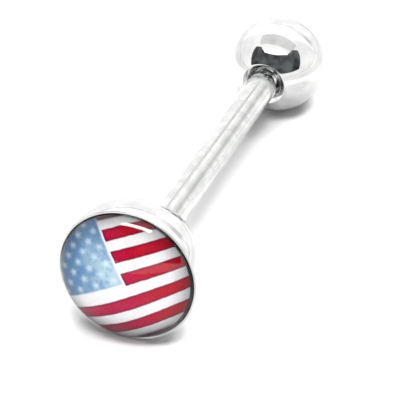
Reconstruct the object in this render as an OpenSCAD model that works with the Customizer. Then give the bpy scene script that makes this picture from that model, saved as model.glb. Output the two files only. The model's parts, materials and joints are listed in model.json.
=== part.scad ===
// Tongue barbell, lying on a level surface as it comes to rest: a straight steel bar with a
// half-ball setting fixed at one end and a ball that unscrews at the other. Millimetres.

/* [Bar] */
// Diameter of the smooth shank
bar_d = 1.6; // [1.3:0.05:2]
// Length of the smooth shank, from the cup's seat to the shoulder
bar_l = 16; // [10:0.5:22]
// Bevel round the shoulder, where the shank ends
shoulder_bevel = 0.1; // [0.04:0.01:0.15]
// Diameter of the spigot that is pressed into the cup
spigot_d = 1.1; // [0.6:0.05:1.1]
// Length of the spigot
spigot_l = 2; // [0.5:0.1:2.4]

/* [Thread] */
// Outer diameter of the thread
thread_d = 1.2; // [0.9:0.05:1.4]
// Distance from one turn of the thread to the next
thread_pitch = 0.25; // [0.2:0.01:0.35]
// Number of turns
thread_turns = 10; // [4:1:12]
// Length of the relief groove between the shoulder and the thread
relief_l = 0.3; // [0.15:0.05:0.6]
// Plain length past the last turn, with the tip's bevel
tip_l = 0.15; // [0.1:0.01:0.3]

/* [Cup] */
// Diameter of the half ball
cup_d = 7.6; // [7:0.1:10]
// How far the flat face lies in front of the half ball's centre
face_rise = 0.45; // [0:0.05:0.8]
// Width of the flat rim round the recess
rim_w = 0.12; // [0.08:0.01:1]
// Depth of the recess below the rim
recess_depth = 0.3; // [0.25:0.05:1]
// Bevel round the rim's outer edge
rim_bevel = 0.03; // [0.01:0.01:0.04]
// Depth of the flat seat that the bar's shank stands in
seat_depth = 0.05; // [0.02:0.01:0.1]

/* [Print and resin] */
// Thickness of the printed disc
print_t = 0.1; // [0.05:0.01:0.15]
// How far the resin's edge stands above the rim
resin_edge = 0.06; // [0.02:0.02:0.3]
// How far the middle of the resin stands above the rim
resin_rise = 1.75; // [0.5:0.05:2.2]

/* [Ball] */
// Diameter of the ball
ball_d = 5; // [4:0.1:8]
// Room between the shank's size and the round edge of the ball's mouth
mouth_room = 0.37; // [0.2:0.01:0.6]
// Width of the narrow lip inside the mouth's edge
lip_w = 0.19; // [0.05:0.01:0.25]
// Depth of the lip
lip_depth = 0.08; // [0.04:0.01:0.15]
// Depth of the cone below the lip
sink_depth = 0.45; // [0.2:0.05:0.8]
// Gap between the shank's shoulder and the mouth's edge
shoulder_gap = 0.15; // [0.1:0.05:1]

/* [Fits] */
// Gap between pieces that are pressed or laid together
seat_gap = 0.02; // [0.01:0.01:0.04]
// Gap round the print and the resin
side_gap = 0.05; // [0.02:0.01:0.1]
// Gap between the thread and the ball's hole, all round
thread_gap = 0.03; // [0.02:0.01:0.05]

/* [Hidden] */
$fn = 96;
// Cutters reach this far past the faces that they cut
over = 1;
// Flat crest and root of a turn, as shares of the pitch, and the depth of a 60 degree thread
crest_share = 1 / 8;
root_share = 1 / 4;
thread_depth = thread_pitch * (1 - crest_share - root_share) / 2 / tan(30);
// Half the angle of a drill's point
drill_half_angle = 59;

bar_r = bar_d / 2;
thread_r = thread_d / 2;
root_r = thread_r - thread_depth;
cup_r = cup_d / 2;
rim_r = sqrt(pow(cup_r, 2) - pow(face_rise, 2));
recess_r = rim_r - rim_w;
ball_r = ball_d / 2;
mouth_r = bar_r + mouth_room;
lip_inner_r = mouth_r - lip_w;
hole_r = thread_r + thread_gap;

// Places along the bar's axis: 0 is the half ball's centre, and plus points to the ball
face_z = -face_rise;
recess_z = face_z + recess_depth;
print_back_z = recess_z - seat_gap;
print_front_z = print_back_z - print_t;
resin_back_z = print_front_z - seat_gap;
resin_edge_z = face_z - resin_edge;
resin_top_z = face_z - resin_rise;
seat_z = sqrt(pow(cup_r, 2) - pow(bar_r, 2)) - seat_depth;
shank_z = seat_z + seat_gap;
shoulder_z = shank_z + bar_l;
thread_z = shoulder_z + relief_l;
thread_l = thread_turns * thread_pitch;
tip_z = thread_z + thread_l + tip_l;
mouth_z = shoulder_z + shoulder_gap;
ball_z = mouth_z + sqrt(pow(ball_r, 2) - pow(mouth_r, 2));
hole_end_z = tip_z + seat_gap;

// The resin's front is part of a sphere
resin_r = recess_r - side_gap;
resin_sagitta = resin_edge_z - resin_top_z;
resin_sphere_r = (pow(resin_r, 2) + pow(resin_sagitta, 2)) / (2 * resin_sagitta);
resin_sphere_z = resin_top_z + resin_sphere_r;

// It lies on the half ball and the ball, so its axis dips towards the smaller one
tilt = asin((cup_r - ball_r) / ball_z);
front_x = resin_sphere_z * cos(tilt) - resin_sphere_r;
back_x = ball_z * cos(tilt) + ball_r;
cup_x = -(front_x + back_x) / 2;

// The seam of each round face lies at the side, a quarter turn from the line that it rests on
seam_turn = 90;

// Lays a piece that is built along Z down on the surface
module lie_down() {
    translate([cup_x, 0, cup_r]) rotate([0, 90 + tilt, 0]) rotate([0, 0, seam_turn]) children();
}

// A cylinder between two places on the axis
module along_axis(from_z, to_z, r1, r2) {
    translate([0, 0, from_z]) cylinder(h = to_z - from_z, r1 = r1, r2 = r2);
}

// Profile of the relief groove and the thread: each turn is a ridge with 60 degree flanks
function thread_profile() = concat(
    [[0, shoulder_z - over], [root_r, shoulder_z - over]],
    [for (i = [0:thread_turns - 1]) let (z = thread_z + i * thread_pitch)
        each [
            [root_r, z],
            [root_r, z + thread_pitch * root_share],
            [thread_r, z + thread_pitch * (1 + root_share - crest_share) / 2],
            [thread_r, z + thread_pitch * (1 + root_share + crest_share) / 2]
        ]
    ],
    [
        [root_r, thread_z + thread_l],
        [root_r, tip_z - tip_l / 2],
        [root_r - tip_l / 2, tip_z],
        [0, tip_z]
    ]
);

module bar() {
    color([0.80, 0.80, 0.78]) lie_down() union() {
        along_axis(shank_z - spigot_l, shank_z + over, spigot_d / 2, spigot_d / 2);
        along_axis(shank_z, shoulder_z - shoulder_bevel, bar_r, bar_r);
        along_axis(shoulder_z - shoulder_bevel, shoulder_z, bar_r, bar_r - shoulder_bevel);
        rotate_extrude() polygon(thread_profile());
    }
}

module cup() {
    color([0.82, 0.82, 0.80]) lie_down() difference() {
        sphere(r = cup_r);
        along_axis(-cup_r - over, face_z, cup_r + over, cup_r + over);
        rim_cut();
        along_axis(face_z - over, recess_z, recess_r, recess_r);
        along_axis(seat_z, cup_r + over, bar_r + seat_gap, bar_r + seat_gap);
        along_axis(seat_z - spigot_l, seat_z + over, spigot_d / 2 + seat_gap, spigot_d / 2 + seat_gap);
    }
}

// Takes the sharp outer edge off the rim
module rim_cut() {
    difference() {
        along_axis(face_z - over, face_z + rim_bevel, cup_r + over, cup_r + over);
        along_axis(face_z - over, face_z + rim_bevel, rim_r - rim_bevel - over, rim_r);
    }
}

module print_disc() {
    color([0.75, 0.12, 0.16]) lie_down()
        along_axis(print_front_z, print_back_z, resin_r, resin_r);
}

module resin_dome() {
    color([0.9, 0.93, 0.95, 0.5]) lie_down() intersection() {
        translate([0, 0, resin_sphere_z]) sphere(r = resin_sphere_r, $fn = 240);
        along_axis(resin_top_z - over, resin_back_z, resin_r, resin_r);
    }
}

module ball() {
    lip_z = mouth_z + lip_depth;
    color([0.82, 0.82, 0.80]) lie_down() difference() {
        translate([0, 0, ball_z]) sphere(r = ball_r);
        mouth_slope = (mouth_r - lip_inner_r) / lip_depth;
        along_axis(mouth_z - over, lip_z, mouth_r + over * mouth_slope, lip_inner_r);
        along_axis(lip_z, lip_z + sink_depth, lip_inner_r, hole_r);
        along_axis(lip_z, hole_end_z, hole_r, hole_r);
        along_axis(hole_end_z, hole_end_z + hole_r / tan(drill_half_angle), hole_r, 0);
    }
}

bar();
cup();
print_disc();
resin_dome();
ball();
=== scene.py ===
# The looks of a tongue barbell: a mirror-polished steel bar with a printed, resin-covered half ball
# at one end and a ball that unscrews at the other.

import json
import math

import bpy
import numpy as np
from mathutils import Matrix, Vector


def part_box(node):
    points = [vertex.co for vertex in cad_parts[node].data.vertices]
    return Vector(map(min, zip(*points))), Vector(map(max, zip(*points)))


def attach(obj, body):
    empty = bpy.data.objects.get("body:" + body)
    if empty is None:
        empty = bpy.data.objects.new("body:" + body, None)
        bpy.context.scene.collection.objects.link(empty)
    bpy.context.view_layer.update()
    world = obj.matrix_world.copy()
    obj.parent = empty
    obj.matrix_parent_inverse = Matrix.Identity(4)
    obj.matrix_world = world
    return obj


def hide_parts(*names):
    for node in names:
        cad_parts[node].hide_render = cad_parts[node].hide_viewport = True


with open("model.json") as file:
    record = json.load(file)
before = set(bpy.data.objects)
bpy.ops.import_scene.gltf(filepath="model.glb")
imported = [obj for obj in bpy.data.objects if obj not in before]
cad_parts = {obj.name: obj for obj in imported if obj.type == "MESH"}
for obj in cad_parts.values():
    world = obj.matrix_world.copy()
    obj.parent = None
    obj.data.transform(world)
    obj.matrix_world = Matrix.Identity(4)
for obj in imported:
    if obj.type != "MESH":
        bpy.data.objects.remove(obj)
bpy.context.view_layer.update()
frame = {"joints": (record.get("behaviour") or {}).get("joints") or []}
scene = bpy.context.scene


# How it lies
# The barbell rests on its half ball and on its smaller screw-on ball, so its axis dips towards
# the ball. Places along the axis count from the half ball's centre, and plus is to the ball.

mm = 0.001
axis = Vector(frame["joints"][0]["axis"]).normalized()
cup_r = 3.8 * mm
ball_r = 2.5 * mm
ball_centre = Vector((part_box("ball")[1].x - ball_r, 0, ball_r))
ball_place = (cup_r - ball_r) / -axis.z
cup_centre = ball_centre - axis * ball_place


# The view
# The camera looks down on the printed face from half a metre away, from its left and well above,
# through a long lens.

camera_aim = cup_centre + Vector((8.884, -0.499, -1.3)) * mm
camera_distance = 507.4 * mm
camera_azimuth = math.radians(-159.52)
camera_elevation = math.radians(35.25)

camera_data = bpy.data.cameras.new("camera")
camera_data.sensor_width = 36
camera_data.lens = 879.5
camera_data.clip_start = 10 * mm
camera_data.clip_end = 10
camera = bpy.data.objects.new("camera", camera_data)
scene.collection.objects.link(camera)
towards_camera = Vector((
    math.cos(camera_elevation) * math.cos(camera_azimuth),
    math.cos(camera_elevation) * math.sin(camera_azimuth),
    math.sin(camera_elevation),
))
camera.location = camera_aim + towards_camera * camera_distance
camera.rotation_euler = towards_camera.to_track_quat("Z", "Y").to_euler()
scene.camera = camera
scene.view_settings.view_transform = "Standard"


# The table and the light
# A white table in a tent of white cloth. Two broad lamps light the table, one from the camera's
# side and one from behind. The polish mirrors the tent: its strip lamp, roof, seam and folds, and
# the opening to the dark room in front of it.

def linked(name, mesh, *materials):
    """A mesh as an object of the scene, with its materials."""
    for material in materials:
        mesh.materials.append(material)
    piece = bpy.data.objects.new(name, mesh)
    scene.collection.objects.link(piece)
    return piece


def new_material(name):
    """A material, with its node tree and its shader."""
    material = bpy.data.materials.new(name)
    material.use_nodes = True
    return material, material.node_tree, material.node_tree.nodes["Principled BSDF"]


def node(tree, kind, values=(), **settings):
    """A node with its settings, whose inputs are numbers, colours or the outputs of others."""
    made = tree.nodes.new("ShaderNode" + kind)
    for setting, value in settings.items():
        setattr(made, setting, value)
    for slot, value in dict(values).items():
        if isinstance(value, bpy.types.NodeSocket):
            tree.links.new(value, made.inputs[slot])
        else:
            made.inputs[slot].default_value = value
    return made


def worked(tree, operation, a, b=0.0, c=0.0):
    """The result of a Math node."""
    return node(tree, "Math", {0: a, 1: b, 2: c}, operation=operation).outputs[0]


def times(tree, a, b):
    """The product of two numbers."""
    return worked(tree, "MULTIPLY", a, b)


def span(tree, operation, a, b=(0, 0, 0)):
    """The length, distance or dot product that a Vector Math node gives."""
    return node(tree, "VectorMath", {0: a, 1: b}, operation=operation).outputs["Value"]


def between(tree, value, start, end, first=0.0, last=1.0):
    """First where the value is at start or before, last at end or past it, smooth in between."""
    reach = {"Value": value, "From Min": start, "From Max": end, "To Min": first, "To Max": last}
    return node(tree, "MapRange", reach, interpolation_type="SMOOTHSTEP").outputs["Result"]


def over(tree, under, top, cover):
    """A colour laid over another as far as it covers it, from 0 to 1."""
    return node(tree, "Mix", {0: cover, 6: under, 7: top}, data_type="RGBA").outputs[2]


def clouds(tree, where, scale, detail=2.0, roughness=0.5):
    """Soft noise between 0 and 1, with this many grains a unit of length."""
    values = {"Vector": where, "Scale": scale, "Detail": detail, "Roughness": roughness}
    return node(tree, "TexNoise", values).outputs["Fac"]


def glow(name, strength, other_strength=None, tint=(1, 1, 1), in_resin=None):
    """A material that gives off light, even or in soft patches between two strengths. It may have
    a strength of its own for the rays that the resin's surface mirrors."""
    material, tree, _ = new_material(name)
    tree.nodes.clear()
    if in_resin:
        ray = node(tree, "LightPath").outputs["Is Singular Ray"]
        strength = between(tree, ray, 0, 1, strength, in_resin)
    if other_strength:
        where = node(tree, "TexCoord").outputs["Object"]
        patch_size = 150 * mm
        patches = clouds(tree, where, 1 / patch_size, 1.0)
        strength = between(tree, patches, 0.25, 0.75, strength, other_strength)
    light = node(tree, "Emission", {"Color": (*tint, 1), "Strength": strength})
    node(tree, "OutputMaterial", {"Surface": light.outputs[0]})
    return material


def hung(name, points, material, mirrored=True, lights=False):
    """A sheet of the tent whose corners are points[row, column]. The camera never sees it: it is
    mirrored in the polish, or lights the table, or both."""
    index = np.arange(points.shape[0] * points.shape[1]).reshape(points.shape[:2])
    quads = np.stack((index[:-1, :-1], index[1:, :-1], index[1:, 1:], index[:-1, 1:]), -1)
    mesh = bpy.data.meshes.new(name)
    mesh.from_pydata(points.reshape(-1, 3), [], quads.reshape(-1, 4))
    sheet = linked(name, mesh, material)
    sheet.visible_camera = False
    sheet.visible_shadow = False
    sheet.visible_transmission = False
    sheet.visible_glossy = mirrored
    sheet.visible_diffuse = lights


tent_r = 350 * mm


def curved(azimuths, low, high):
    """Points on the tent's round wall. Column i stands at azimuths[i] and reaches from the
    elevation low[i] to high[i], all in degrees. A point lies at r (cos e cos a, cos e sin a,
    sin e) for the azimuth a and the elevation e."""
    rows = 9
    share = np.linspace(0, 1, rows)[:, None]
    up = np.radians(low * (1 - share) + high * share)
    turn = np.radians(np.broadcast_to(azimuths, up.shape))
    return tent_r * np.stack((np.cos(up) * np.cos(turn), np.cos(up) * np.sin(turn), np.sin(up)), -1)


def overhead(x_low, x_high, y_low, y_high):
    """The corners of a flat sheet at the tent's top, its sides given as shares of its height."""
    x, y = np.meshgrid((x_low, x_high), (y_low, y_high), indexing="ij")
    return tent_r * np.stack((x, y, np.ones_like(x)), -1)


def level_line(elevation, aside):
    """Elevations of a straight level line on the tent, this many degrees aside of its middle:
    the tangent falls with the cosine."""
    return np.degrees(np.arctan(math.tan(math.radians(elevation)) * np.cos(np.radians(aside))))


def tent_light():
    """The light of the tent's white cloth: dim on the table, where the lamps do the work, bright
    in the polish, and through the resin brighter from the camera's side."""
    on_table, in_polish = 0.3, 1.42
    resin_behind, resin_before = 1.1, 2.55
    world = bpy.data.worlds.new("tent")
    world.use_nodes = True
    tree = world.node_tree
    ray = node(tree, "LightPath").outputs
    facing = span(tree, "DOT_PRODUCT", node(tree, "TexCoord").outputs["Generated"], (-0.7, 0, 0.7))
    in_resin = between(tree, facing, -0.1, 1.0, resin_behind, resin_before)
    outside = worked(tree, "MULTIPLY_ADD", ray["Is Glossy Ray"], in_polish - on_table, on_table)
    level = node(tree, "Mix", {"Factor": ray["Is Transmission Ray"], "A": outside, "B": in_resin})
    tree.links.new(level.outputs["Result"], tree.nodes["Background"].inputs["Strength"])
    tree.nodes["Background"].inputs["Color"].default_value = (1, 1, 1, 1)
    return world


scene.world = tent_light()


def table_paint():
    """Matt white paint. Its mirror image in the polish is a little grey, with a soft grain, and
    greyer in a wide ring round the barbell. Painted shade makes it darker under the barbell and in
    front of the ball on its right. The image in the resin's surface is half as bright as that."""
    material, tree, shader = new_material("white_table")
    shader.inputs["Roughness"].default_value = 0.9
    shader.inputs["Specular IOR Level"].default_value = 0
    where = node(tree, "TexCoord").outputs["Object"]
    away = span(tree, "LENGTH", where)
    near, ring, far = 0.87, 0.66, 0.9
    round_it = worked(
        tree, "MAXIMUM",
        between(tree, away, 16 * mm, 20 * mm, near, ring),
        between(tree, away, 45 * mm, 90 * mm, ring, far),
    )
    # Painted shade in front of the ball on its right, seen only in the polish
    from_ball_shade = span(tree, "DISTANCE", where, (8 * mm, -4.5 * mm, 0))
    painted_ball_shade = between(tree, from_ball_shade, 3 * mm, 6 * mm, ring, near)
    # Painted shadow of the bar on the table, seen only in the polish: darker near the axis line
    from_axis = worked(tree, "ABSOLUTE", node(tree, "SeparateXYZ", {0: where}).outputs[1])
    painted_bar_shadow = between(tree, from_axis, 1.5 * mm, 4 * mm, 0.8, 1.0)
    grain = between(tree, clouds(tree, where, 1 / (2 * mm), 3.0), 0.3, 0.7, 0.95, 1.05)
    ray = node(tree, "LightPath").outputs
    in_resin = between(tree, ray["Is Singular Ray"], 0, 1, 1.0, 0.5)
    grey = times(tree, worked(tree, "MINIMUM", round_it, painted_ball_shade), painted_bar_shadow)
    grey = times(tree, times(tree, grey, grain), in_resin)
    paint = over(tree, (0.9, 0.9, 0.9, 1), grey, ray["Is Glossy Ray"])
    tree.links.new(paint, shader.inputs["Base Color"])
    return material


table_half = 2.0
table_mesh = bpy.data.meshes.new("table")
table_mesh.from_pydata(
    [(-table_half, -table_half, 0), (table_half, -table_half, 0),
     (table_half, table_half, 0), (-table_half, table_half, 0)],
    [],
    [(0, 1, 2, 3)],
)
linked("table", table_mesh, table_paint())

# The lower edge of the opening to the dark room climbs towards both ends, and its upper edge bows
# down and then drops
opening_middle = -168.0
opening_aside = np.linspace(-90, 90, 91)
off_middle = np.abs(opening_aside)
opening_low = 11 + 31 * np.clip((off_middle - 64) / 26, 0, 1)
opening_bow = 4 * np.clip(off_middle / 50, 0, 1) ** 2
opening_high = 58 - opening_bow - 9 * np.clip((off_middle - 80) / 10, 0, 1)
hung(
    "opening",
    curved(opening_middle + opening_aside, opening_low, opening_high),
    glow("dark_room", 0.03, 0.21, (0.9, 0.97, 1)),
)

# The strip lamp is straight and level on top, and its lower edge sags towards its ends. The resin
# mirrors its end as a dim one, with a thin bright tail
lamp_middle = 190.0
lamp_low_edge, lamp_high_edge = 61, 71.5
lamp_sag = 7
lamp_columns = 27
for name, first, last, lift, nearer, in_resin in (
    ("strip_lamp", -51, 25, 0, 0.98, 30),
    ("strip_lamp_tail", 25, 42, 8, 0.97, 30),
    ("strip_lamp_end", 25, 51, 0, 0.98, 1),
):
    lamp_aside = np.linspace(first, last, lamp_columns)
    lifted = np.linspace(0, lift, lamp_columns)
    lamp_low = lamp_low_edge - lamp_sag * (lamp_aside / 50) ** 2 + lifted
    lamp = curved(lamp_middle + lamp_aside, lamp_low, level_line(lamp_high_edge, lamp_aside))
    hung(name, nearer * lamp, glow(name, 8, in_resin=in_resin))

broad_columns = 33
for name, first, last, bottom, top, strength in (
    ("key_lamp", 165, 238, 58, 72, 24),
    ("side_lamp", -62, 45, 50, 68, 10),
):
    broad_lamp = curved(
        np.linspace(first, last, broad_columns),
        np.full(broad_columns, bottom),
        np.full(broad_columns, top),
    )
    hung(name, broad_lamp, glow(name, strength), mirrored=False, lights=True)
hung("grey_roof", overhead(-0.14, 0.38, -0.78, 0.78), glow("grey_roof", 0.95, 1.1))

# The seam of the back wall rises over the barbell as a cosine of the azimuth, and the soft lamp
# fills the space from there to the roof
seam_azimuth = np.linspace(-43, 62, 43)
seam_middle = 5.0
seam_half = np.where(seam_azimuth > seam_middle, 57.0, 48.0)
seam_low = 32 * np.cos(np.radians(90 * (seam_azimuth - seam_middle) / seam_half))
seam_high = seam_low + 1.4
hung("seam", curved(seam_azimuth, seam_low, seam_high), glow("grey_seam", 0.72))
hung("back_wall", curved(seam_azimuth, 0 * seam_low, seam_low), glow("white_wall", 1.5))
hung(
    "back_lamp",
    curved(seam_azimuth, seam_high, level_line(68, seam_azimuth)),
    glow("soft_lamp", 1.75),
)


def fold(first, last):
    """A strip of the tent that the bar mirrors as a streak along its side. It lies between two
    angles about the bar's axis, counted from the top, and 32 to 42 degrees away from the axis. A
    point is cos(lean) along the axis, sin(lean) sin(roll) aside and sin(lean) cos(roll) above."""
    roll, lean = np.radians(np.meshgrid(np.linspace(first, last, 12), np.linspace(32, 42, 6)))
    beside, above = np.sin(lean) * np.sin(roll), np.sin(lean) * np.cos(roll)
    return 0.96 * tent_r * (
        np.cos(lean)[..., None] * np.array(axis)
        + beside[..., None] * np.array((0, -1, 0))
        + above[..., None] * np.array((-axis.z, 0, axis.x))
    )


# Each strip is narrower and dimmer than the one behind it, so the streak is soft at its sides
fold_spacing = 0.01
for step, (first, last, strength) in enumerate(
    ((10, 69, 1.45), (22, 67, 1.32), (32, 65, 1.2), (38, 63, 1.08), (43, 61, 0.96))
):
    strip = (1 - fold_spacing * step) * fold(first, last)
    hung(f"fold_{step}", strip, glow(f"fold_{step}", strength))


# The bar
# The straight post that sits in the piercing, turned from surgical steel and mirror-polished. A
# spigot is pressed into the half ball, and the other end carries a right-hand thread.

eased_points = 9
corner_points = eased_points + 2


def corner(before, tip, after, cut):
    """A corner of a profile, eased. The tip is cut back by the length cut on both sides, and the
    parabola (1-t)^2 a + 2 t (1-t) tip + t^2 b joins the two ends. One more point on each side
    keeps the flat beside it flat."""
    before, tip, after = np.array(before), np.array(tip), np.array(after)
    back = (before - tip) / np.linalg.norm(before - tip)
    on = (after - tip) / np.linalg.norm(after - tip)
    t = np.linspace(0, 1, eased_points)[:, None]
    bend = (1 - t) ** 2 * (tip + cut * back) + 2 * t * (1 - t) * tip + t ** 2 * (tip + cut * on)
    hold = 1.15 * cut
    return np.vstack((tip + hold * back, bend, tip + hold * on))


def turned(name, radius, place, material, rough_rings=(0, 0), rough_material=None):
    """A closed piece turned about the barbell's axis. Ring i lies at place[i] along the axis, and
    its point j is radius[i, j] away from the axis, at j / spokes of a full turn: centre + r cos(t)
    down + r sin(t) side + place axis. The first and the last ring have no radius: each is one
    point, a pole. The faces from one ring to another may have a second material."""
    spokes = radius.shape[1]
    turn = np.linspace(0, 2 * np.pi, spokes, endpoint=False)
    down = np.array((axis.z, 0, -axis.x))
    side = np.array((0, 1, 0))
    rings = (
        np.array(cup_centre)
        + (radius * np.cos(turn))[..., None] * down
        + (radius * np.sin(turn))[..., None] * side
        + place[:, None, None] * np.array(axis)
    )
    points = np.vstack((rings[0, :1], rings[1:-1].reshape(-1, 3), rings[-1, :1]))
    index = 1 + np.arange((len(place) - 2) * spokes).reshape(-1, spokes)
    beside = np.roll(index, -1, axis=1)
    quads = np.stack((index[:-1], beside[:-1], beside[1:], index[1:]), -1).reshape(-1, 4)
    last_pole = len(points) - 1
    first_fan = np.stack((np.zeros(spokes, int), beside[0], index[0]), -1)
    last_fan = np.stack((np.full(spokes, last_pole), index[-1], beside[-1]), -1)
    mesh = bpy.data.meshes.new(name)
    mesh.from_pydata(points, [], first_fan.tolist() + quads.tolist() + last_fan.tolist())
    mesh.shade_smooth()
    if not rough_material:
        return linked(name, mesh, material)
    ring_of_face = np.repeat(np.arange(len(place) - 1), spokes)
    is_rough = (ring_of_face >= rough_rings[0]) & (ring_of_face < rough_rings[1])
    mesh.polygons.foreach_set("material_index", is_rough.astype(np.int32))
    return linked(name, mesh, material, rough_material)


def even(radius, spokes):
    """The radii of rings that are round: each radius repeated for every spoke."""
    return np.repeat(np.asarray(radius)[:, None], spokes, axis=1)


def surgical_steel(name, dull, bright, smear_size, smooth, rough, ripple_size, ripple_height):
    """Surgical steel with faint smears between a dull and a bright colour, which are also more and
    less rough, and with ripples of this size and height in its surface."""
    material, tree, shader = new_material(name)
    shader.inputs["Metallic"].default_value = 1
    where = node(tree, "TexCoord").outputs["Object"]
    smears = clouds(tree, where, 1 / smear_size, 4.0)
    colour = over(tree, (*dull, 1), (*bright, 1), between(tree, smears, 0.36, 0.64))
    tree.links.new(colour, shader.inputs["Base Color"])
    tree.links.new(between(tree, smears, 0.36, 0.64, rough, smooth), shader.inputs["Roughness"])
    ripples = clouds(tree, where, 1 / ripple_size, 1.0)
    bump = node(tree, "Bump", {"Strength": 0.5, "Distance": ripple_height, "Height": ripples})
    tree.links.new(bump.outputs["Normal"], shader.inputs["Normal"])
    return material


handled_steel = surgical_steel(
    "handled_steel",
    dull=(0.54, 0.55, 0.54), bright=(0.635, 0.635, 0.63), smear_size=0.7 * mm,
    smooth=0.07, rough=0.12, ripple_size=2.0 * mm, ripple_height=0.004 * mm,
)
# Cut steel is rougher than the polish, as it was cut. Its colour is also darker, which is painted
# shade in the hole, the countersink, the seat and the thread
cut_steel_painted_shade = surgical_steel(
    "cut_steel_painted_shade",
    dull=(0.36, 0.365, 0.37), bright=(0.52, 0.525, 0.53), smear_size=0.3 * mm,
    smooth=0.14, rough=0.22, ripple_size=0.1 * mm, ripple_height=0.001 * mm,
)

bar_r = 0.8 * mm
bar_l = 16 * mm
spigot_r = 0.55 * mm
spigot_l = 2 * mm
seat_depth = 0.05 * mm
seat_gap = 0.02 * mm
seat_place = math.sqrt(cup_r ** 2 - bar_r ** 2) - seat_depth
shank_place = seat_place + seat_gap
shoulder_place = shank_place + bar_l
thread_r = 0.6 * mm
thread_pitch = 0.25 * mm
thread_turns = 10
thread_depth = 0.135 * mm
root_r = thread_r - thread_depth
relief_l = 0.3 * mm
tip_l = 0.15 * mm
thread_place = shoulder_place + relief_l
thread_end = thread_place + thread_turns * thread_pitch
tip_place = thread_end + tip_l


def ridge(place, spokes):
    """The height of a right-hand thread, from 0 in its root to 1 on its crest, for rings at these
    places. One turn on, the ridge has moved along by the pitch. Its flanks are straight, an
    eighth of the pitch is crest and a quarter is root."""
    turn = np.linspace(0, 1, spokes, endpoint=False)
    phase = (place[:, None] / thread_pitch - turn) % 1
    crest_half, root_half = 1 / 16, 1 / 8
    flank = 1 / 2 - crest_half - root_half
    return np.clip((1 / 2 - root_half - np.abs(phase - 1 / 2)) / flank, 0, 1)


bar_spokes = 192
rings_per_turn = 16
spigot_end = shank_place - spigot_l
shank = np.vstack((
    (0, spigot_end),
    corner((0, spigot_end), (spigot_r, spigot_end), (spigot_r, shank_place), 0.1 * mm),
    corner((spigot_r, spigot_end), (spigot_r, shank_place), (bar_r, shank_place), 0.02 * mm),
    corner((spigot_r, shank_place), (bar_r, shank_place), (bar_r, shoulder_place), 0.04 * mm),
    corner((bar_r, shank_place), (bar_r, shoulder_place), (root_r, shoulder_place), 0.13 * mm),
    corner((bar_r, shoulder_place), (root_r, shoulder_place), (root_r, thread_place), 0.05 * mm),
))
shoulder_ring = len(shank) - corner_points - 1
thread = np.linspace(thread_place, thread_end, rings_per_turn * thread_turns + 1)
run_in = np.clip((thread - thread_place) / thread_pitch, 0, 1)
run_out = np.clip((thread_end - thread) / thread_pitch, 0, 1)
thread_height = ridge(thread, bar_spokes) * (run_in * run_out)[:, None]
bar_tip = np.vstack((
    corner((root_r, thread_end), (root_r, tip_place), (0, tip_place), 0.06 * mm),
    (0, tip_place),
))
bar_places = np.concatenate((shank[:, 1], thread, bar_tip[:, 1]))
# The step down to the thread and the thread are in the cut steel, whose darker colour is painted
# shade where they sit in the ball
bar = turned(
    "steel_bar",
    np.vstack((
        even(shank[:, 0], bar_spokes),
        root_r + thread_depth * thread_height,
        even(bar_tip[:, 0], bar_spokes),
    )),
    bar_places,
    handled_steel,
    (shoulder_ring, len(bar_places)),
    cut_steel_painted_shade,
)
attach(bar, "barbell")
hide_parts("bar")


# The half ball
# The setting at the top end, turned from the same steel: a round back with a blind hole for the
# bar's spigot, and a flat front with a shallow recess inside a narrow rim. Its outside is
# polished, and the seat of the bar is rough as it was cut and darkened with painted shade.

def arc(centre_place, size, start, end, steps):
    """Points of a circle about the axis in a profile, from one angle to another in degrees. 0
    points away from the axis and 90 along it, to the ball."""
    turn = np.radians(np.linspace(start, end, steps))
    return np.column_stack((size * np.cos(turn), centre_place + size * np.sin(turn)))


polished_steel = surgical_steel(
    "polished_steel",
    dull=(0.57, 0.575, 0.57), bright=(0.67, 0.67, 0.665), smear_size=1.1 * mm,
    smooth=0.03, rough=0.06, ripple_size=1.5 * mm, ripple_height=0.004 * mm,
)
face_place = -0.45 * mm
rim_w = 0.12 * mm
recess_place = face_place + 0.3 * mm
seat_r = bar_r + 0.05 * mm
hole_r = spigot_r + seat_gap
hole_end_place = seat_place - spigot_l
rim_r = math.sqrt(cup_r ** 2 - face_place ** 2)
recess_r = rim_r - rim_w
seat_edge_place = math.sqrt(cup_r ** 2 - seat_r ** 2)

rim_ease = 0.03 * mm
seat_ease = 0.025 * mm
# The round outside stops this many eases short of an eased edge
ease_room = 1.3
back_start = math.asin(face_place / cup_r) + ease_room * rim_ease / cup_r
back_end = math.acos(seat_r / cup_r) - ease_room * seat_ease / cup_r
back_steps = 180
round_back = arc(0, cup_r, math.degrees(back_start), math.degrees(back_end), back_steps)
cup_profile = np.vstack((
    (0, recess_place),
    corner((0, recess_place), (recess_r, recess_place), (recess_r, face_place), 0.04 * mm),
    corner((recess_r, recess_place), (recess_r, face_place), (rim_r, face_place), 0.02 * mm),
    corner((recess_r, face_place), (rim_r, face_place), round_back[0], rim_ease),
    round_back,
    corner(round_back[-1], (seat_r, seat_edge_place), (seat_r, seat_place), seat_ease),
    corner((seat_r, seat_edge_place), (seat_r, seat_place), (hole_r, seat_place), 0.003 * mm),
    corner((seat_r, seat_place), (hole_r, seat_place), (hole_r, hole_end_place), 0.02 * mm),
    corner((hole_r, seat_place), (hole_r, hole_end_place), (0, hole_end_place), 0.05 * mm),
    (0, hole_end_place),
))
# The cut steel, with its painted shade, starts half way over the seat's eased edge, the first of
# the last four corners
seat_ring = len(cup_profile) - 1 - 4 * corner_points + eased_points // 2
round_spokes = 256
cup = turned(
    "half_ball",
    even(cup_profile[:, 0], round_spokes),
    cup_profile[:, 1],
    polished_steel,
    (seat_ring, len(cup_profile)),
    cut_steel_painted_shade,
)
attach(cup, "barbell")
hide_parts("cup")


# The print
# A thin round card at the bottom of the recess, printed with stripes and a starred corner. The
# print is small and coarse: its edges are soft and its ink is mottled. Painted shade dulls it
# towards its border, and it is nearly black at its ends and round its cut edge.

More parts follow.
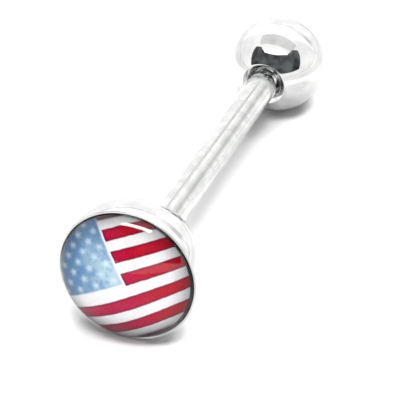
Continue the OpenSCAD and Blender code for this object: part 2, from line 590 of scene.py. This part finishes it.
def card_flat(tree):
    """Places on the card in millimetres from its middle: s runs along the stripes, up to the
    right, and t across them, up to the left."""
    stripe_turn = math.radians(28)
    right = Vector((0, -1, 0))
    up = Vector((-axis.z, 0, axis.x))
    along = right * math.cos(stripe_turn) + up * math.sin(stripe_turn)
    across = up * math.cos(stripe_turn) - right * math.sin(stripe_turn)
    on_card = Matrix((along, across, -axis))
    return node(tree, "Mapping", {
        "Vector": node(tree, "TexCoord").outputs["Object"],
        "Scale": (1 / mm, 1 / mm, 1 / mm),
        "Rotation": on_card.to_euler(),
        "Location": -(on_card @ cup_centre) / mm,
    }).outputs["Vector"]


def wavering(tree, flat):
    """The places s and t, shifted by soft noise of up to 0.03 mm, as small print runs off true."""
    noise = node(tree, "TexNoise", {"Vector": flat, "Scale": 3.0, "Detail": 2.0}).outputs["Color"]
    centred = node(tree, "VectorMath", {0: noise, 1: (-0.5, -0.5, -0.5)}, operation="ADD")
    small = node(tree, "VectorMath", {0: centred.outputs[0], "Scale": 0.06}, operation="SCALE")
    inked = node(tree, "VectorMath", {0: flat, 1: small.outputs[0]}, operation="ADD")
    parts = node(tree, "SeparateXYZ", {0: inked.outputs[0]}).outputs
    return parts[0], parts[1]


def stripes(tree, s, t):
    """Where the red stripes are, and the dark lines at their edges and ends. The distance from the
    nearest stripe's middle is t folded to and fro by half the pitch, which grows a little towards
    the top. The stripes stop short of the starred corner."""
    pitch, middle, half, soft = 1.12, -0.03, 0.295, 0.035
    stretch = times(tree, worked(tree, "MAXIMUM", worked(tree, "SUBTRACT", t, 1.0), 0.0), 0.06)
    evened = worked(tree, "SUBTRACT", worked(tree, "SUBTRACT", t, stretch), middle)
    from_middle = worked(tree, "PINGPONG", evened, pitch / 2)
    stripe = between(tree, from_middle, half + soft, half - soft)
    right_of_corner = between(tree, s, -0.13, -0.07)
    below_corner = between(tree, t, -0.45, -0.55)
    red = times(tree, stripe, worked(tree, "MAXIMUM", right_of_corner, below_corner))
    edge_line = times(tree, between(tree, from_middle, half - 0.11, half - 0.03), red)
    end_line = times(tree, between(tree, s, 0.02, -0.06), between(tree, t, -0.5, -0.4))
    return red, worked(tree, "MAXIMUM", edge_line, times(tree, end_line, red))


def stars(tree, s, t, first_s, first_t):
    """Blurred five-pointed stars in a grid. In its sector of 36 degrees a point belongs to a star
    where r (R sin a + q sin(36 - a)) is less than R q sin 36, with the tips at R, the notches at
    q, and the angle a counted from the nearest tip."""
    column, row, tip_r, notch_r = 0.9, 0.88, 0.13, 0.1
    x = worked(tree, "WRAP", worked(tree, "SUBTRACT", s, first_s), column / 2, -column / 2)
    y = worked(tree, "WRAP", worked(tree, "SUBTRACT", t, first_t), row / 2, -row / 2)
    away = worked(tree, "SQRT", worked(tree, "MULTIPLY_ADD", x, x, times(tree, y, y)))
    sector = math.pi / 5
    angle = worked(tree, "PINGPONG", worked(tree, "ARCTAN2", x, y), sector)
    rest = worked(tree, "SUBTRACT", sector, angle)
    from_tip = times(tree, worked(tree, "SINE", angle), tip_r)
    from_notch = times(tree, worked(tree, "SINE", rest), notch_r)
    measure = times(tree, away, worked(tree, "ADD", from_tip, from_notch))
    limit = tip_r * notch_r * math.sin(sector)
    return between(tree, measure, 2.4 * limit, -0.2 * limit)


def red_ink(tree, s, mottle):
    """Red ink, more crimson at the left, and darker in small spots."""
    crimson, scarlet = (0.52, 0.006, 0.075, 1), (0.56, 0.006, 0.024, 1)
    spots = (0.42, 0.005, 0.02, 1)
    ink = over(tree, crimson, scarlet, between(tree, s, -0.6, 1.6))
    return over(tree, ink, spots, between(tree, mottle, 0.42, 0.66))


def blue_ink(tree, flat, mottle):
    """Blue ink, worn pale about a place near the card's middle, with blots and small spots."""
    deep, pale = (0.10, 0.25, 0.46, 1), (0.50, 0.70, 0.79, 1)
    blot, spots = (0.09, 0.25, 0.52, 1), (0.07, 0.17, 0.34, 1)
    pale_middle = (-0.35, 0.6, 0)
    patches = worked(tree, "SUBTRACT", clouds(tree, flat, 0.8), 0.5)
    distance = span(tree, "DISTANCE", flat, pale_middle)
    worn = worked(tree, "MULTIPLY_ADD", patches, 1.6, distance)
    ink = over(tree, deep, pale, between(tree, worn, 2.2, 0.2))
    ink = over(tree, ink, blot, between(tree, clouds(tree, flat, 2.2, 3.0), 0.46, 0.66, 0.0, 0.55))
    return over(tree, ink, spots, between(tree, mottle, 0.48, 0.75, 0.0, 0.4))


def painted_shade_and_dark_edges(tree, colour, flat, s, t):
    """The print's colour, dulled with painted shade towards its border and most at the bottom left,
    and nearly black at its top and bottom ends and round its cut edge."""
    cut_middle = (-0.03, 0.05, 0)
    cut_start, cut_end = 3.25, 3.33
    end_colour, cut_colour = (0.04, 0.014, 0.026, 1), (0.014, 0.009, 0.012, 1)
    centred = node(tree, "VectorMath", {0: flat, 1: cut_middle}, operation="SUBTRACT").outputs[0]
    level = node(tree, "VectorMath", {0: centred, 1: (1, 1, 0)}, operation="MULTIPLY").outputs[0]
    away = span(tree, "LENGTH", level)
    low_left = span(tree, "DOT_PRODUCT", flat, (-0.5, -0.87, 0))
    # Painted shade: the print is dulled towards its border, and most at the bottom left
    painted_shade = times(
        tree,
        between(tree, away, 2.2, 3.6, 1.0, 0.38),
        between(tree, low_left, 1.6, 3.3, 1.0, 0.55),
    )
    colour = node(tree, "VectorMath", {0: colour, "Scale": painted_shade}, operation="SCALE").outputs[0]
    top_end = times(tree, between(tree, t, 3.0, 3.2), between(tree, s, -0.3, -0.1))
    at_ends = worked(tree, "MAXIMUM", between(tree, t, -2.9, -3.1), top_end)
    colour = over(tree, colour, end_colour, times(tree, at_ends, 0.92))
    return over(tree, colour, cut_colour, between(tree, away, cut_start, cut_end))


def printed_card():
    """The print's colours, laid over each other: paper, red stripes and their dark lines, the blue
    corner, its stars, and the painted shade towards the border with its nearly black ends and edge."""
    material, tree, shader = new_material("printed_card")
    shader.inputs["Roughness"].default_value = 0.55
    shader.inputs["Specular IOR Level"].default_value = 0
    flat = card_flat(tree)
    s, t = wavering(tree, flat)
    mottle = clouds(tree, flat, 7.0, 4.0, 0.7)

    grey_paper, white_paper = (0.83, 0.83, 0.84, 1), (0.93, 0.93, 0.93, 1)
    line_colour, star_colour = (0.11, 0.004, 0.03, 1), (0.70, 0.86, 0.95, 1)
    line_cover, star_cover = 0.8, 0.72
    red, dark_line = stripes(tree, s, t)
    blue = times(tree, between(tree, s, -0.15, -0.27), between(tree, t, -0.28, -0.15))
    star = worked(
        tree, "MAXIMUM", stars(tree, s, t, -0.52, 0.03), stars(tree, s, t, -0.97, 0.47)
    )
    colour = over(tree, grey_paper, white_paper, between(tree, mottle, 0.3, 0.5))
    colour = over(tree, colour, red_ink(tree, s, mottle), red)
    colour = over(tree, colour, line_colour, times(tree, dark_line, line_cover))
    colour = over(tree, colour, blue_ink(tree, flat, mottle), blue)
    colour = over(tree, colour, star_colour, times(tree, times(tree, star, blue), star_cover))
    colour = painted_shade_and_dark_edges(tree, colour, flat, s, t)
    tree.links.new(colour, shader.inputs["Base Color"])
    return material


print_r = 3.595 * mm
print_front = recess_place - 0.12 * mm
print_back = recess_place - 0.02 * mm
print_ease = 0.015 * mm
card_profile = np.vstack((
    (0, print_front),
    corner((0, print_front), (print_r, print_front), (print_r, print_back), print_ease),
    corner((print_r, print_front), (print_r, print_back), (0, print_back), print_ease),
    (0, print_back),
))
card = turned(
    "printed_disc",
    even(card_profile[:, 0], round_spokes),
    card_profile[:, 1],
    printed_card(),
)
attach(card, "barbell")
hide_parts("print_disc")


# The resin
# Clear resin, poured over the print and left to draw itself up into a dome. It grips the card's
# front and edge, so the print is seen through it with nothing between.

def clear_resin():
    """Clear, glossy resin: refracts at 1.5, with a trace of waviness in its surface."""
    material, tree, shader = new_material("clear_resin")
    shader.inputs["Base Color"].default_value = (0.985, 0.99, 0.99, 1)
    shader.inputs["Roughness"].default_value = 0.0
    shader.inputs["IOR"].default_value = 1.5
    shader.inputs["Transmission Weight"].default_value = 1
    wave_size, wave_height = 2.2 * mm, 0.003 * mm
    waves = clouds(tree, node(tree, "TexCoord").outputs["Object"], 1 / wave_size, 1.0)
    bump = node(tree, "Bump", {"Strength": 0.3, "Distance": wave_height, "Height": waves})
    tree.links.new(bump.outputs["Normal"], shader.inputs["Normal"])
    return material


resin_r = 3.62 * mm
resin_back = print_front + 0.01 * mm
resin_edge = face_place - 0.06 * mm
edge_ease = 0.04 * mm
middle_slope = 0.8
edge_slope = 1.2
drop = 16
# The slope is middle_slope share + edge_slope share^drop, so the dome is round and falls off at
# its edge
dome_steps = 160
share = np.linspace(0, 1 - edge_ease / resin_r, dome_steps)
height = middle_slope * (1 - share ** 2) / 2 + edge_slope * (1 - share ** (drop + 1)) / (drop + 1)
dome = np.column_stack((share * resin_r, resin_edge - height * resin_r))
resin_profile = np.vstack((
    dome,
    corner(dome[-1], (resin_r, resin_edge), (resin_r, resin_back), edge_ease),
    corner((resin_r, resin_edge), (resin_r, resin_back), (0, resin_back), 0.01 * mm),
    (0, resin_back),
))
resin = turned(
    "resin_cover",
    even(resin_profile[:, 0], round_spokes),
    resin_profile[:, 1],
    clear_resin(),
)
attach(resin, "barbell")
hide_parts("resin_dome")


# The ball
# The screw-on ball at the other end, turned and polished. Its mouth has a narrow lip and is
# countersunk, so it starts easily on the bar's thread, which runs in its blind tapped hole. The
# countersink and the hole are rough as they were cut and darkened with painted shade.

mouth_place = shoulder_place + 0.15 * mm
mouth_r = bar_r + 0.37 * mm
lip_r = mouth_r - 0.25 * mm
lip_place = mouth_place + 0.1 * mm
sink_place = lip_place + 0.45 * mm
thread_room = 0.03 * mm
tapped_r = root_r + thread_room
sink_r = tapped_r + thread_depth
tapped_end = tip_place + 0.02 * mm
drill_half_angle = math.radians(59)
drill_places = (tapped_end + tapped_r / math.tan(drill_half_angle), tapped_end + 0.01 * mm)
drill_radii = (0, 0.98 * tapped_r)

tapped_rings = 150
outside_steps = 200
tapped = np.linspace(tapped_end, sink_place, tapped_rings)
tap_start = np.clip((tapped - sink_place) / (2 * thread_pitch), 0, 1)[:, None]
tapped_radius = tapped_r + thread_depth * (1 - (1 - ridge(tapped, round_spokes)) * tap_start)
mouth_ease = 0.05 * mm
outside_start = math.asin((mouth_place - ball_place) / ball_r) + ease_room * mouth_ease / ball_r
outside = arc(ball_place, ball_r, math.degrees(outside_start), 90, outside_steps)
ball_front = np.vstack((
    corner((sink_r, tapped_end), (sink_r, sink_place), (lip_r, lip_place), 0.02 * mm),
    corner((sink_r, sink_place), (lip_r, lip_place), (mouth_r, mouth_place), 0.03 * mm),
    corner((lip_r, lip_place), (mouth_r, mouth_place), outside[0], mouth_ease),
    outside,
))
ball_front[-1, 0] = 0
lip_ring = len(drill_radii) + len(tapped) + corner_points
ball = turned(
    "steel_ball",
    np.vstack((
        even(drill_radii, round_spokes),
        tapped_radius,
        even(ball_front[:, 0], round_spokes),
    )),
    np.concatenate((drill_places, tapped, ball_front[:, 1])),
    polished_steel,
    (0, lip_ring),
    cut_steel_painted_shade,
)
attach(ball, "screw_ball")
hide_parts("ball")
